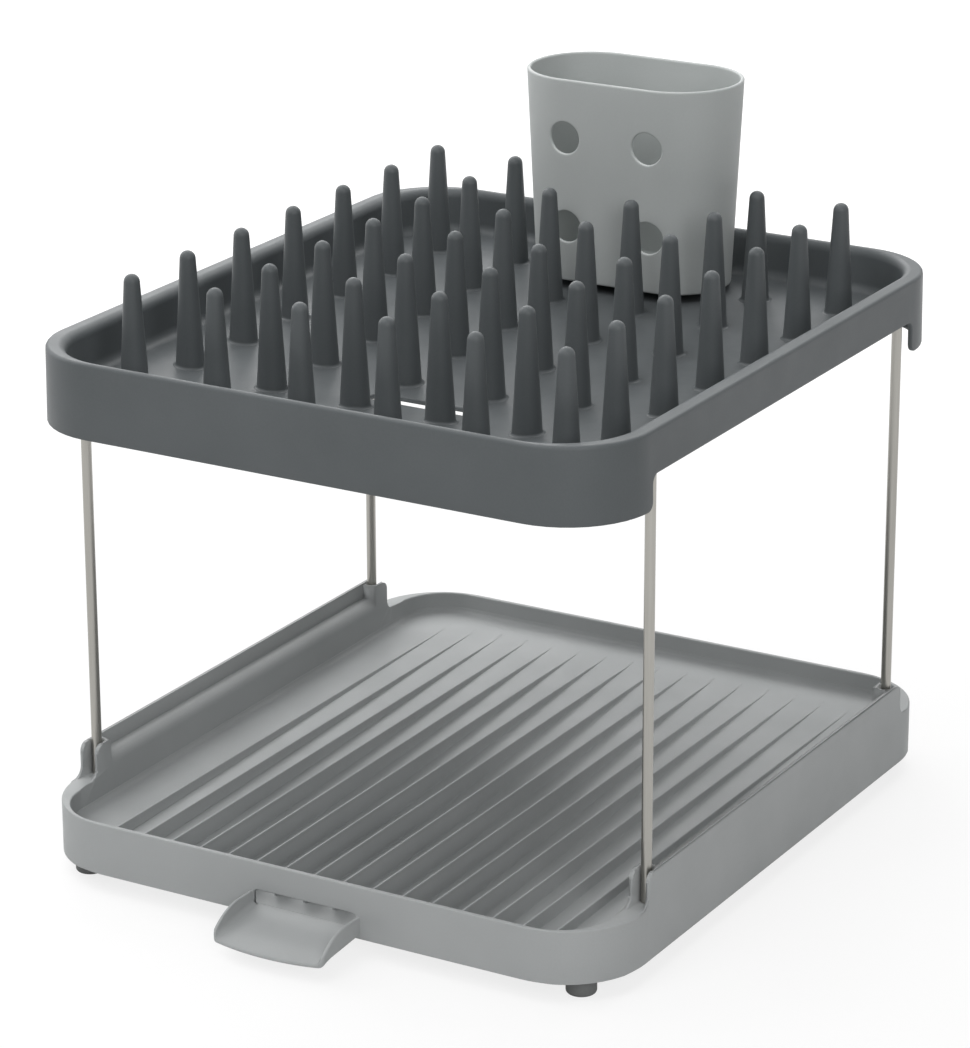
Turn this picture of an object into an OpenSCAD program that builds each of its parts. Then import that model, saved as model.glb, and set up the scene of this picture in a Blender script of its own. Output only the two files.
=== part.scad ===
// Two-tier dish rack: a ribbed draining base, two wire legs, a pegged upper tray and a cutlery cup.
// Millimetres. Z is up, the front with the pouring spout faces -Y, the feet stand on Z = 0.

/* [Trays] */
// Width of both trays, left to right
tray_w = 300; // [294:1:330]
// Length of both trays, front to back
tray_l = 342.4; // [336:0.2:380]
// Corner radius of both trays seen from above
corner_r = 40; // [36:1:44]
// Length of the raised base sides and of the cut-outs above them
side_len = 257; // [236:1:258]
// Width of the side rails that hold the legs
rail_w = 10; // [9.6:0.1:12]
// Thickness of the floors of both trays
floor_t = 2.2; // [1.8:0.1:2.6]

/* [Base tray] */
// Height of the front and back rim above the tray's lower edge
base_rim_h = 25.2; // [23:0.1:30]
// Height of the raised sides above the tray's lower edge
base_side_h = 41.3; // [38.5:0.1:48]
// Thickness of the outer wall
base_wall_t = 2.4; // [2:0.1:2.6]
// Corner radius inside the walls
base_in_r = 26; // [24:1:32]
// Height of the level floor border above the tray's lower edge
base_floor_h = 15; // [14:0.1:17]
// Depth of the dished floor at the spout
base_dish_d = 10.5; // [8:0.1:11]
// Height of the rounded shoulder inside each raised side
shoulder_h = 36; // [34:0.1:37]
// Rounding of the shoulder's inner edge
shoulder_r = 6.5; // [4:0.1:7]
// Distance from the back edge to the rear end of the dished floor
base_dish_back = 23; // [16:1:30]
// Fall of the floor along the sides, from the back to the front wall
side_fall = 4.7; // [2:0.1:6]
// Width of the lowest part of the floor at the front wall
low_front_w = 204; // [160:2:220]
// Width of the lowest part of the floor at its rear end
low_back_w = 72; // [50:2:110]
// Length of the lowest part of the floor behind the front wall
low_l = 154; // [110:1:170]

/* [Draining ribs] */
// Number of ribs on the base floor
rib_n = 16; // [10:1:17]
// Spacing of the ribs
rib_pitch = 15.33; // [14:0.01:15.6]
// Thickness of a rib
rib_t = 1.3; // [1:0.1:2]
// Gap between the front wall and the front ends of the ribs
rib_gap = 10; // [4:0.5:20]

/* [Spout] */
// Clear width of the drain window in the front wall
window_w = 54; // [30:1:54]
// Height of the drain window
window_h = 7.4; // [6:0.1:8]
// Reach of the chute in front of the tray
spout_len = 33.8; // [28:0.2:38]
// Outside width of the chute
spout_w = 57.6; // [57:0.2:64]
// Thickness of the chute's side walls
spout_t = 1.6; // [1.2:0.1:1.7]
// Height of the chute's side walls above its floor at the tray
spout_h = 6.5; // [6.2:0.1:7]
// Radius of the rounded fall of the side walls
fall_r = 29; // [28:0.5:31]
// Length of the rounded fall
fall_l = 24; // [22:0.5:24.5]
// Length of the steeper lip
lip_l = 9; // [7:0.5:11]
// Fall of the chute's floor from the sill to the lip
lip_start_drop = 2.6; // [2:0.1:3]
// Fall of the chute's floor from the sill to the edge of the lip
lip_drop = 5.6; // [5:0.1:5.8]
// Thickness of the chute's floor at the tray
spout_floor_t = 2.8; // [2:0.1:3]
// Thickness of the chute's floor at the lip
lip_t = 1.4; // [1.3:0.05:1.6]
// Radius of the lip's front edge seen from above
lip_r = 132; // [110:1:160]

/* [Feet] */
// Height of the rubber feet below the tray's lower edge
foot_h = 9.2; // [8:0.1:12]
// Diameter of a foot
foot_d = 13.8; // [12:0.1:16]
// Distance of the feet from the tray's sides
foot_x_in = 20.5; // [19:0.5:24]
// Distance of the feet from the tray's front and back
foot_y_in = 19.6; // [19:0.2:24]
// Diameter of the stem that plugs each foot into the tray
stem_d = 6; // [4:0.5:7]
// Length of the plugged stem
stem_l = 6; // [4:0.5:6]
// Wall of the boss round each stem
boss_t = 3.5; // [2.5:0.1:4]

/* [Wire legs] */
// Diameter of the leg wire
leg_d = 4.8; // [4:0.1:4.9]
// Distance of the wire's centre from the tray's side
leg_in = 4.9; // [4.7:0.05:5.1]
// Distance of the wire's centre from the end of the raised side
leg_end = 6.5; // [6:0.1:7.5]
// Bend radius of the wire's centre line
leg_bend = 12; // [8:0.5:20]
// Clear gap between a leg and its socket
socket_gap = 0.8; // [0.5:0.05:0.9]
// Wall round the closed half of a socket
socket_t = 2.1; // [1.6:0.1:2.4]

/* [Upper tray] */
// Height from the base rim up to the upper tray's lower edge
tier_gap = 183.1; // [150:0.1:240]
// Height of the upper tray
up_h = 35.3; // [33:0.1:42]
// Height of the cut-outs in the upper tray's sides
cut_h = 15.3; // [12:0.1:16]
// Thickness of the skirt
skirt_t = 2.3; // [1.9:0.1:2.4]
// Width of the rim at the front and back
up_rim_w = 5.4; // [5:0.1:8]
// Corner radius of the basin
basin_r = 36; // [32:1:40]
// Rounding of the rim's inner edge
rim_in_r = 4.4; // [3:0.1:4.8]
// Rounding of the rim's outer edge
rim_out_r = 1.6; // [1:0.1:2]
// Thickness of the rim above the legs' top bars
rim_t = 4.2; // [3.6:0.1:5]
// Depth of the basin at its border
up_depth = 21.6; // [19:0.1:24]
// Corner radius of both dished floors
dish_r = 30; // [26:1:34]
// Depth of the funnel-shaped floor at the drain slot
up_dish_d = 8.7; // [6:0.1:9]
// Level floor border left and right of the funnel
dish_side = 14; // [10:1:20]
// Level floor border in front of and behind the funnel
dish_end = 16; // [12:1:24]
// Length of the drain slot
slot_l = 54; // [40:1:64]
// Width of the drain slot
slot_w = 9; // [7:0.5:12]

/* [Plate pegs] */
// Distance of the outer pegs from the tray's sides
peg_side = 40; // [36:0.5:44]
// Distance of the end rows from the tray's front and back
peg_end = 39.2; // [39:0.1:44]
// Pegs from left to right
peg_cols = 6; // [4:2:6]
// Rows of pegs from front to back
peg_rows = 7; // [5:2:7]
// Height of a peg above the level floor border
peg_h = 52.7; // [40:0.1:64]
// Radius of a peg at the level floor border
peg_r = 6.6; // [5.4:0.1:6.8]
// Radius of a peg's round tip
peg_tip_r = 3.65; // [2.6:0.05:4]

/* [Cutlery cup] */
// Width of the cup at its rim
cup_w = 109; // [104:0.5:114]
// Depth of the cup at its rim, front to back
cup_l = 62.8; // [62.2:0.2:66]
// Height of the cup
cup_h = 100.2; // [90:0.2:120]
// Corner radius of the cup's rim
cup_r = 31; // [27:0.1:31]
// Draft of the cup's walls from rim to base
cup_draft = 4.8; // [3:0.1:6]
// Thickness of the cup's walls
cup_t = 2; // [1.6:0.1:2.4]
// Thickness of the cup's base
cup_base_t = 2.4; // [2:0.1:3.2]
// Gap between the tray's floor and the cup
cup_gap = 2.5; // [1:0.1:4]
// Diameter of the round holes in the cup's front and back
hole_d = 15.8; // [10:0.2:18]
// Spacing of the holes left to right
hole_dx = 44; // [38:0.2:48]
// Height of the lower row of holes above the cup's base
hole_z = 27.4; // [24:0.2:32]
// Spacing of the two rows of holes
hole_dz = 44; // [36:0.2:48]

/* [Clearances] */
// Gap at the seats of pieces that lift off
lift_gap = 0.3; // [0.2:0.05:0.4]
// Radial clearance of the plugged foot stems
plug_gap = 0.05; // [0.02:0.01:0.08]

/* [Show] */
// Sub-part to draw

/* [Hidden] */
$fn = 64;
hull_fn = 40;
eps = 0.01;
out = 1;
// Levels of the base tray
z_base = foot_h;
z_floor = z_base + base_floor_h;
z_sill = z_floor - base_dish_d;
z_rim = z_base + base_rim_h;
z_side = z_base + base_side_h;
z_shoulder = z_base + shoulder_h;
// Levels of the upper tray
z_up = z_rim + tier_gap;
z_cut = z_up + cut_h;
z_top = z_up + up_h;
z_tray = z_top - up_depth;
z_bar = z_top - rim_t - lift_gap - leg_d / 2;
// Plan positions
half_w = tray_w / 2;
half_l = tray_l / 2;
basin_w = tray_w - 2 * rail_w;
leg_x = half_w - leg_in;
leg_y = side_len / 2 - leg_end;
socket_r = leg_d / 2 + socket_gap;
hollow_y = leg_y - socket_r - 3 * socket_t;
lip_y = -half_l - spout_len;
foot_x = half_w - foot_x_in;
foot_y = half_l - foot_y_in;
pitch_x = (tray_w - 2 * peg_side) / (peg_cols - 1);
pitch_y = (tray_l - 2 * peg_end) / (peg_rows - 1);
slot_y = -1.5 * pitch_y;
cup_y = half_l - peg_end;
// Front ends of the ribs
rib_y = -half_l + base_wall_t + rib_gap;
// The whole rack, chute included, is centred on the origin from front to back
y_shift = spout_len / 2;
// Rounding of the raised sides' ends and of the cut-outs above them
end_top_r = 4;
end_foot_r = 5.5;
// Half of a leg's side channel under the upper rim
channel_y = leg_y + leg_d / 2 + skirt_t;
// Taper of a peg in radius per height
peg_taper = (peg_r - peg_tip_r) / (peg_h - peg_tip_r);
// Size of a peg where the cup's base rests over it
peg_seat_r = peg_r - peg_taper * cup_gap;

base_c = [0.58, 0.6, 0.6];
tray_c = [0.2, 0.21, 0.22];
cup_c = [0.52, 0.54, 0.54];
wire_c = [0.66, 0.65, 0.62];
foot_c = [0.2, 0.21, 0.21];

// Moves a piece drawn about the trays' centre into the rack's frame
module in_frame() {
    translate([0, y_shift, 0])
        children();
}

// Rounded rectangle in plan
module plate(w, l, r) {
    square([w - 2 * r, l], center = true);
    square([w, l - 2 * r], center = true);
    for (sx = [-1, 1], sy = [-1, 1])
        translate([sx * (w / 2 - r), sy * (l / 2 - r)])
            circle(r);
}

// Upright block with a rounded rectangle as its plan
module block(w, l, r, z0, z1) {
    translate([0, 0, z0])
        linear_extrude(z1 - z0)
            plate(w, l, r);
}

// Both sides at once: draws a right-hand piece and its mirror image
module both_sides() {
    children();
    mirror([1, 0, 0])
        children();
}

// Front and back at once
module both_ends() {
    children();
    mirror([0, 1, 0])
        children();
}

// Turns a drawing of Y against Z into a plate that runs from x0 to x1
module along_x(x0, x1) {
    translate([x0, 0, 0])
        rotate([90, 0, 90])
            linear_extrude(x1 - x0)
                children();
}

// Turns a drawing of X against Z into a bar centred on Y = 0
module along_y(len) {
    translate([0, len / 2, 0])
        rotate([90, 0, 0])
            linear_extrude(len)
                children();
}

// Ring that rounds an edge of a rounded rectangle: dir 1 opens an inner edge, -1 an outer edge
module edge_ring(w, l, r, edge_r, z, dir) {
    both_sides()
        translate([w / 2, 0, z])
            along_y(l - 2 * r)
                edge_profile(edge_r, dir);
    both_ends()
        translate([0, l / 2, z])
            rotate([0, 0, 90])
                along_y(w - 2 * r)
                    edge_profile(edge_r, dir);
    for (k = [0 : 3])
        translate([(k == 0 || k == 3 ? 1 : -1) * (w / 2 - r), (k < 2 ? 1 : -1) * (l / 2 - r), z])
            rotate([0, 0, 90 * k])
                rotate_extrude(angle = 90)
                    translate([r, 0])
                        edge_profile(edge_r, dir);
}

// Material outside a quarter circle at an edge
module edge_profile(edge_r, dir) {
    difference() {
        translate([dir > 0 ? -out : -edge_r, -edge_r])
            square([edge_r + out, edge_r + out]);
        translate([dir * edge_r, -edge_r])
            circle(edge_r);
    }
}

// Side view of the raised base sides, Y against Z
module side_profile() {
    y1 = side_len / 2;
    translate([-y1 + end_top_r, z_base])
        square([side_len - 2 * end_top_r, base_side_h]);
    translate([-y1, z_base])
        square([side_len, base_side_h - end_top_r]);
    for (s = [-1, 1])
        translate([s * (y1 - end_top_r), z_side - end_top_r])
            circle(end_top_r);
    for (s = [-1, 1])
        scale([s, 1])
            translate([y1, z_base])
                difference() {
                    square([end_foot_r, base_rim_h + end_foot_r]);
                    translate([end_foot_r, base_rim_h + end_foot_r])
                        circle(end_foot_r);
                }
}

// Dished floor of the base as a solid of air; it falls along both sides and to the drain window
module base_dish() {
    y0 = -half_l + base_wall_t;
    y1 = half_l - base_dish_back;
    x1 = basin_w / 2;
    intersection() {
        hull() {
            translate([0, 0, z_floor])
                linear_extrude(eps)
                    union() {
                        translate([-x1, y0])
                            square([2 * x1, eps]);
                        for (s = [-1, 1])
                            translate([s * (x1 - dish_r), y1 - dish_r])
                                circle(dish_r, $fn = hull_fn);
                    }
            translate([-x1, y0, z_floor - side_fall])
                cube([2 * x1, eps, eps]);
            translate([0, 0, z_sill])
                linear_extrude(eps)
                    polygon([[-low_front_w / 2, y0], [low_front_w / 2, y0],
                             [low_back_w / 2, y0 + low_l], [-low_back_w / 2, y0 + low_l]]);
        }
        base_room(z_base, z_floor);
    }
}

// Space inside the base walls
module base_room(z0, z1) {
    block(basin_w, tray_l - 2 * base_wall_t, base_in_r, z0, z1);
}

// One rail: thin raised outer wall, rounded shoulder and the collars of its two leg sockets
module rail() {
    trough_y = leg_y - socket_r - socket_t / 2;
    difference() {
        along_x(basin_w / 2, half_w)
            side_profile();
        translate([basin_w / 2 - out, -trough_y, z_rim])
            cube([rail_w - base_wall_t + out, 2 * trough_y, base_side_h]);
    }
    along_y(2 * trough_y + socket_t / 2)
        shoulder_profile();
    intersection() {
        both_ends()
            translate([leg_x, leg_y, z_base])
                cylinder(r = socket_r + socket_t, h = base_side_h);
        translate([basin_w / 2, -half_l, z_base])
            cube([rail_w, tray_l, base_side_h]);
    }
}

// Section of the shoulder, X against Z
module shoulder_profile() {
    x0 = basin_w / 2;
    translate([x0, z_base])
        square([rail_w, shoulder_h - shoulder_r]);
    translate([x0 + shoulder_r, z_base])
        square([rail_w - shoulder_r, shoulder_h]);
    translate([x0 + shoulder_r, z_shoulder - shoulder_r])
        circle(shoulder_r);
}

// Blind socket for one wire, open towards the end of the tray
module socket() {
    translate([leg_x, leg_y, z_rim])
        linear_extrude(base_side_h)
            union() {
                circle(socket_r);
                translate([-socket_r, 0])
                    square([2 * socket_r, leg_end + end_foot_r]);
            }
}

// Space under the floor and inside the rails, open below
module base_hollow() {
    difference() {
        block(tray_w - 2 * base_wall_t, tray_l - 2 * base_wall_t, corner_r - base_wall_t,
              z_base - out, z_floor - floor_t);
        translate([0, 0, -floor_t])
            base_dish();
        for (sx = [-1, 1], sy = [-1, 1])
            translate([sx * foot_x, sy * foot_y, z_base])
                cylinder(d = stem_d + 2 * boss_t, h = base_floor_h);
    }
    both_sides()
        translate([basin_w / 2 + base_wall_t, -hollow_y, z_base - out])
            cube([rail_w - 2 * base_wall_t, 2 * hollow_y, shoulder_h - floor_t + out]);
}

// Drain window in the front wall, flush with the lowest part of the floor
module window() {
    r = 3;
    translate([0, -half_l + base_wall_t / 2, z_sill])
        along_y(2 * base_wall_t)
            union() {
                translate([-window_w / 2, 0])
                    square([window_w, window_h - r]);
                translate([-window_w / 2 + r, 0])
                    square([window_w - 2 * r, window_h]);
                for (s = [-1, 1])
                    translate([s * (window_w / 2 - r), window_h - r])
                        circle(r);
            }
}

module base_tray() {
    in_frame()
        color(base_c)
            difference() {
                intersection() {
                    block(tray_w, tray_l, corner_r, z_base, z_side);
                    union() {
                        block(tray_w, tray_l, corner_r, z_base, z_rim);
                        both_sides()
                            rail();
                    }
                }
                base_room(z_floor, z_side + out);
                base_dish();
                base_hollow();
                window();
                both_sides()
                    both_ends()
                        socket();
                for (sx = [-1, 1], sy = [-1, 1])
                    translate([sx * foot_x, sy * foot_y, z_base - out])
                        cylinder(d = stem_d + 2 * plug_gap, h = stem_l + out + plug_gap);
            }
}

// Level-topped ribs that stand in the dish
module drain_ribs() {
    in_frame()
        color(base_c)
            intersection() {
                base_dish();
                for (i = [0 : rib_n - 1])
                    translate([(i - (rib_n - 1) / 2) * rib_pitch - rib_t / 2, rib_y, z_base])
                        cube([rib_t, tray_l, base_floor_h]);
            }
}

// Side view of the chute, Y against Z, with its rounded fall to the lip
module spout_profile() {
    z1 = z_sill + spout_h;
    intersection() {
        union() {
            translate([lip_y + fall_l, z1 - fall_r])
                square([spout_len - fall_l, fall_r]);
            translate([lip_y + fall_l, z1 - fall_r])
                circle(fall_r);
        }
        spout_above(z1, 0, spout_floor_t, lip_t);
    }
}

// Everything above the chute's falling floor, lowered by t0 at the tray and by t1 at the lip
module spout_above(z1, reach, t0, t1) {
    polygon([[-half_l + reach, z1], [lip_y, z1], [lip_y, z_sill - lip_drop - t1],
             [lip_y + lip_l, z_sill - lip_start_drop - (t0 + t1) / 2], [-half_l + reach, z_sill - t0]]);
}

module pour_spout() {
    in_frame()
        color(base_c)
            difference() {
                intersection() {
                    along_x(-spout_w / 2, spout_w / 2)
                        spout_profile();
                    translate([0, lip_y + lip_r, 0])
                        cylinder(r = lip_r, h = z_rim);
                }
                along_x(-spout_w / 2 + spout_t, spout_w / 2 - spout_t)
                    spout_above(z_rim, out, 0, 0);
            }
}

// Round rubber foot with a plug-in stem
module foot(sx, sy) {
    edge = 1.6;
    translate([sx * foot_x, sy * foot_y, 0])
        rotate_extrude()
            union() {
                square([foot_d / 2 - edge, foot_h]);
                translate([0, edge])
                    square([foot_d / 2, foot_h - edge]);
                translate([foot_d / 2 - edge, edge])
                    intersection() {
                        circle(edge);
                        translate([0, -edge])
                            square(edge);
                    }
                translate([0, foot_h - eps])
                    square([stem_d / 2, stem_l + eps]);
            }
}

module foot_fl() {
    in_frame()
        color(foot_c)
            foot(-1, -1);
}

module foot_fr() {
    in_frame()
        color(foot_c)
            foot(1, -1);
}

module foot_bl() {
    in_frame()
        color(foot_c)
            foot(-1, 1);
}

module foot_br() {
    in_frame()
        color(foot_c)
            foot(1, 1);
}

// Wire bent to an upside-down U: two uprights, two bends and a top bar along Y
module leg(sx) {
    z0 = z_rim + lift_gap;
    translate([sx * leg_x, 0, 0]) {
        both_ends() {
            translate([0, leg_y, z0])
                cylinder(d = leg_d, h = z_bar - leg_bend - z0);
            translate([0, leg_y - leg_bend, z_bar - leg_bend])
                rotate([90, 0, 90])
                    rotate_extrude(angle = 90)
                        translate([leg_bend, 0])
                            circle(d = leg_d);
        }
        translate([0, leg_y - leg_bend, z_bar])
            rotate([90, 0, 0])
                cylinder(d = leg_d, h = 2 * (leg_y - leg_bend));
    }
}

module left_leg() {
    in_frame()
        color(wire_c)
            leg(-1);
}

module right_leg() {
    in_frame()
        color(wire_c)
            leg(1);
}

// Drain slot in plan
module slot_plan(fn) {
    for (s = [-1, 1])
        translate([s * (slot_l - slot_w) / 2, slot_y])
            circle(d = slot_w, $fn = fn);
    translate([-(slot_l - slot_w) / 2, slot_y - slot_w / 2])
        square([slot_l - slot_w, slot_w]);
}

// Funnel of the upper floor as a solid of air, falling from its border to the drain slot
module up_dish() {
    w = basin_w - 2 * dish_side;
    l = tray_l - 2 * up_rim_w - 2 * dish_end;
    hull() {
        translate([0, 0, z_tray])
            linear_extrude(eps)
                for (sx = [-1, 1], sy = [-1, 1])
                    translate([sx * (w / 2 - dish_r), sy * (l / 2 - dish_r)])
                        circle(dish_r, $fn = hull_fn);
        translate([0, 0, z_tray - up_dish_d])
            linear_extrude(eps)
                slot_plan(hull_fn);
    }
}

// Cut-out in the upper tray's sides, Y against Z, rounded at its upper and lower corners
module cut_profile() {
    y1 = side_len / 2;
    translate([-y1, z_up - out])
        square([side_len, cut_h + out - end_top_r]);
    translate([-y1 + end_top_r, z_up - out])
        square([side_len - 2 * end_top_r, cut_h + out]);
    for (s = [-1, 1])
        translate([s * (y1 - end_top_r), z_cut - end_top_r])
            circle(end_top_r);
    for (s = [-1, 1])
        scale([s, 1])
            translate([y1, z_up - out])
                difference() {
                    square([end_top_r, end_top_r + out]);
                    translate([end_top_r, end_top_r + out])
                        circle(end_top_r);
                }
}

// Space below the upper floor, open downwards
module up_hollow() {
    difference() {
        block(tray_w - 2 * skirt_t, tray_l - 2 * skirt_t, corner_r - skirt_t, z_up - out, z_tray - floor_t);
        translate([0, 0, -floor_t])
            up_dish();
    }
}

module peg_tray() {
    basin_l = tray_l - 2 * up_rim_w;
    in_frame()
        color(tray_c)
            difference() {
                block(tray_w, tray_l, corner_r, z_up, z_top);
                edge_ring(tray_w, tray_l, corner_r, rim_out_r, z_top, -1);
                block(basin_w, basin_l, basin_r, z_tray, z_top + out);
                edge_ring(basin_w, basin_l, basin_r, rim_in_r, z_top, 1);
                up_dish();
                up_hollow();
                translate([0, 0, z_up])
                    linear_extrude(up_h)
                        slot_plan($fn);
                both_sides() {
                    translate([basin_w / 2 + floor_t, -channel_y, z_up])
                        cube([rail_w - floor_t - skirt_t, 2 * channel_y, up_h - rim_t]);
                    along_x(basin_w / 2 + floor_t, half_w + out)
                        cut_profile();
                }
            }
}

// One tapered peg with a round tip, drawn from below the lowest floor
module peg() {
    z0 = z_tray - up_dish_d;
    z1 = z_tray + peg_h - peg_tip_r;
    r0 = peg_r + peg_taper * up_dish_d;
    translate([0, 0, z0])
        cylinder(r1 = r0, r2 = peg_tip_r, h = z1 - z0);
    translate([0, 0, z1])
        sphere(peg_tip_r);
}

// All pegs, cut to the funnel-shaped floor that they stand on
module plate_pegs() {
    in_frame()
        color(tray_c)
            difference() {
                for (i = [0 : peg_cols - 1], j = [0 : peg_rows - 1])
                    translate([(i - (peg_cols - 1) / 2) * pitch_x, (j - (peg_rows - 1) / 2) * pitch_y, 0])
                        peg();
                difference() {
                    translate([-half_w, -half_l, z_up])
                        cube([tray_w, tray_l, z_tray - z_up]);
                    up_dish();
                }
            }
}

// Drafted cup shape with conical corners, inset all round, between two heights above its base
module cup_form(inset, h0, h1) {
    cx = cup_w / 2 - cup_r;
    cy = cup_l / 2 - cup_r;
    r0 = cup_r - inset - cup_draft * (cup_h - h0) / cup_h;
    r1 = cup_r - inset - cup_draft * (cup_h - h1) / cup_h;
    for (sx = [-1, 1], sy = [-1, 1])
        translate([sx * cx, sy * cy, h0])
            cylinder(r1 = r0, r2 = r1, h = h1 - h0);
    along_y(2 * cy)
        polygon([[-cx - r0, h0], [cx + r0, h0], [cx + r1, h1], [-cx - r1, h1]]);
    along_x(-cx, cx)
        polygon([[-cy - r0, h0], [cy + r0, h0], [cy + r1, h1], [-cy - r1, h1]]);
}

// Round bead on the cup's rim
module cup_bead() {
    cx = cup_w / 2 - cup_r;
    cy = cup_l / 2 - cup_r;
    r = cup_r - cup_t / 2;
    translate([0, 0, cup_h - cup_t / 2]) {
        both_sides()
            translate([cx + r, 0, 0])
                along_y(2 * cy)
                    circle(d = cup_t);
        both_ends()
            translate([0, cy + r, 0])
                along_x(-cx, cx)
                    circle(d = cup_t);
        for (k = [0 : 3])
            translate([(k == 0 || k == 3 ? 1 : -1) * cx, (k < 2 ? 1 : -1) * cy, 0])
                rotate([0, 0, 90 * k])
                    rotate_extrude(angle = 90)
                        translate([r, 0])
                            circle(d = cup_t);
    }
}

module cutlery_cup() {
    seat_r = peg_seat_r + lift_gap;
    in_frame()
        color(cup_c)
            translate([0, cup_y, z_tray + cup_gap])
                union() {
                    difference() {
                        cup_form(0, 0, cup_h - cup_t / 2);
                        cup_form(cup_t, cup_base_t, cup_h);
                        for (s = [-1, 1])
                            translate([s * pitch_x / 2, 0, 0])
                                cylinder(r1 = seat_r, r2 = seat_r - peg_taper * cup_base_t, h = cup_base_t);
                        for (s = [-1, 1], k = [0, 1])
                            translate([s * hole_dx / 2, 0, hole_z + k * hole_dz])
                                rotate([90, 0, 0])
                                    cylinder(d = hole_d, h = cup_l + 2 * out, center = true);
                    }
                    cup_bead();
                }
}

base_tray();
drain_ribs();
pour_spout();
foot_fl();
foot_fr();
foot_bl();
foot_br();
left_leg();
right_leg();
peg_tray();
plate_pegs();
cutlery_cup();
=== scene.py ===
"""Two-tier dish rack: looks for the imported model, in metres, in the model's own frame."""
import logging
import math
from dataclasses import dataclass, field
from enum import Enum
from typing import Sequence

import bmesh
import bpy
import numpy as np
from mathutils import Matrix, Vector


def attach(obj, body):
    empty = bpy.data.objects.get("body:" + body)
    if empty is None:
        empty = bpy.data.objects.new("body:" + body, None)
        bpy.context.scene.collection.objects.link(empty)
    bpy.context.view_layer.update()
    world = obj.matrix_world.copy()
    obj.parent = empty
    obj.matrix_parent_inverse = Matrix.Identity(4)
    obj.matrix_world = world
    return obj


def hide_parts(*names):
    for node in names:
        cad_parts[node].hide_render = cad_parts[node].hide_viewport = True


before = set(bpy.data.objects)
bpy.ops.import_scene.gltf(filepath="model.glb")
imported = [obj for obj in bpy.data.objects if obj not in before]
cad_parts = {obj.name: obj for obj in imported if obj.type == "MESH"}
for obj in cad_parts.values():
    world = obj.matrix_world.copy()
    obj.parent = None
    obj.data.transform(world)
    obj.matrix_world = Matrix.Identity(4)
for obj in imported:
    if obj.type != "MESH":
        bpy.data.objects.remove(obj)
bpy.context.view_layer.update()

LOG = logging.getLogger("rack")
Array = np.ndarray
Colour = tuple[float, float, float]
Point = tuple[float, float, float]
Span = tuple[float, float]


class Grain(Enum):
    """Kinds of surface texture that a finish can have, as stretch of the noise in X, Y and Z."""

    MOULDED = (1.0, 1.0, 1.0)
    DRAWN = (1.0, 1.0, 0.03)


class Nodes:
    """Small helper that adds nodes to a tree and links them."""

    def __init__(self, tree: bpy.types.NodeTree) -> None:
        """Keeps the tree that the nodes go into."""
        self.tree = tree

    def add(self, kind: str, **values: object) -> bpy.types.Node:
        """Adds a node.

        Args:
            kind: Blender's name of the node type.
            **values: attributes of the node to set.

        Returns:
            The new node.
        """
        node = self.tree.nodes.new(kind)
        for key, value in values.items():
            setattr(node, key, value)
        return node

    def link(self, start: bpy.types.NodeSocket, end: bpy.types.NodeSocket) -> None:
        """Links an output to an input."""
        self.tree.links.new(start, end)


@dataclass(frozen=True)
class Texture:
    """Numbers of the shared surface texture: noise scales per metre, and how tone and gloss follow the noise."""

    drift_scale: float = 16.0
    drift_detail: float = 3.0
    fine_detail: float = 2.0
    fine_share: float = 0.35
    tone_span: Span = (0.42, 0.95)
    rub_scale: float = 55.0
    rub_detail: float = 5.0
    rub_twist: float = 0.6
    rub_span: Span = (0.3, 0.7)


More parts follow.
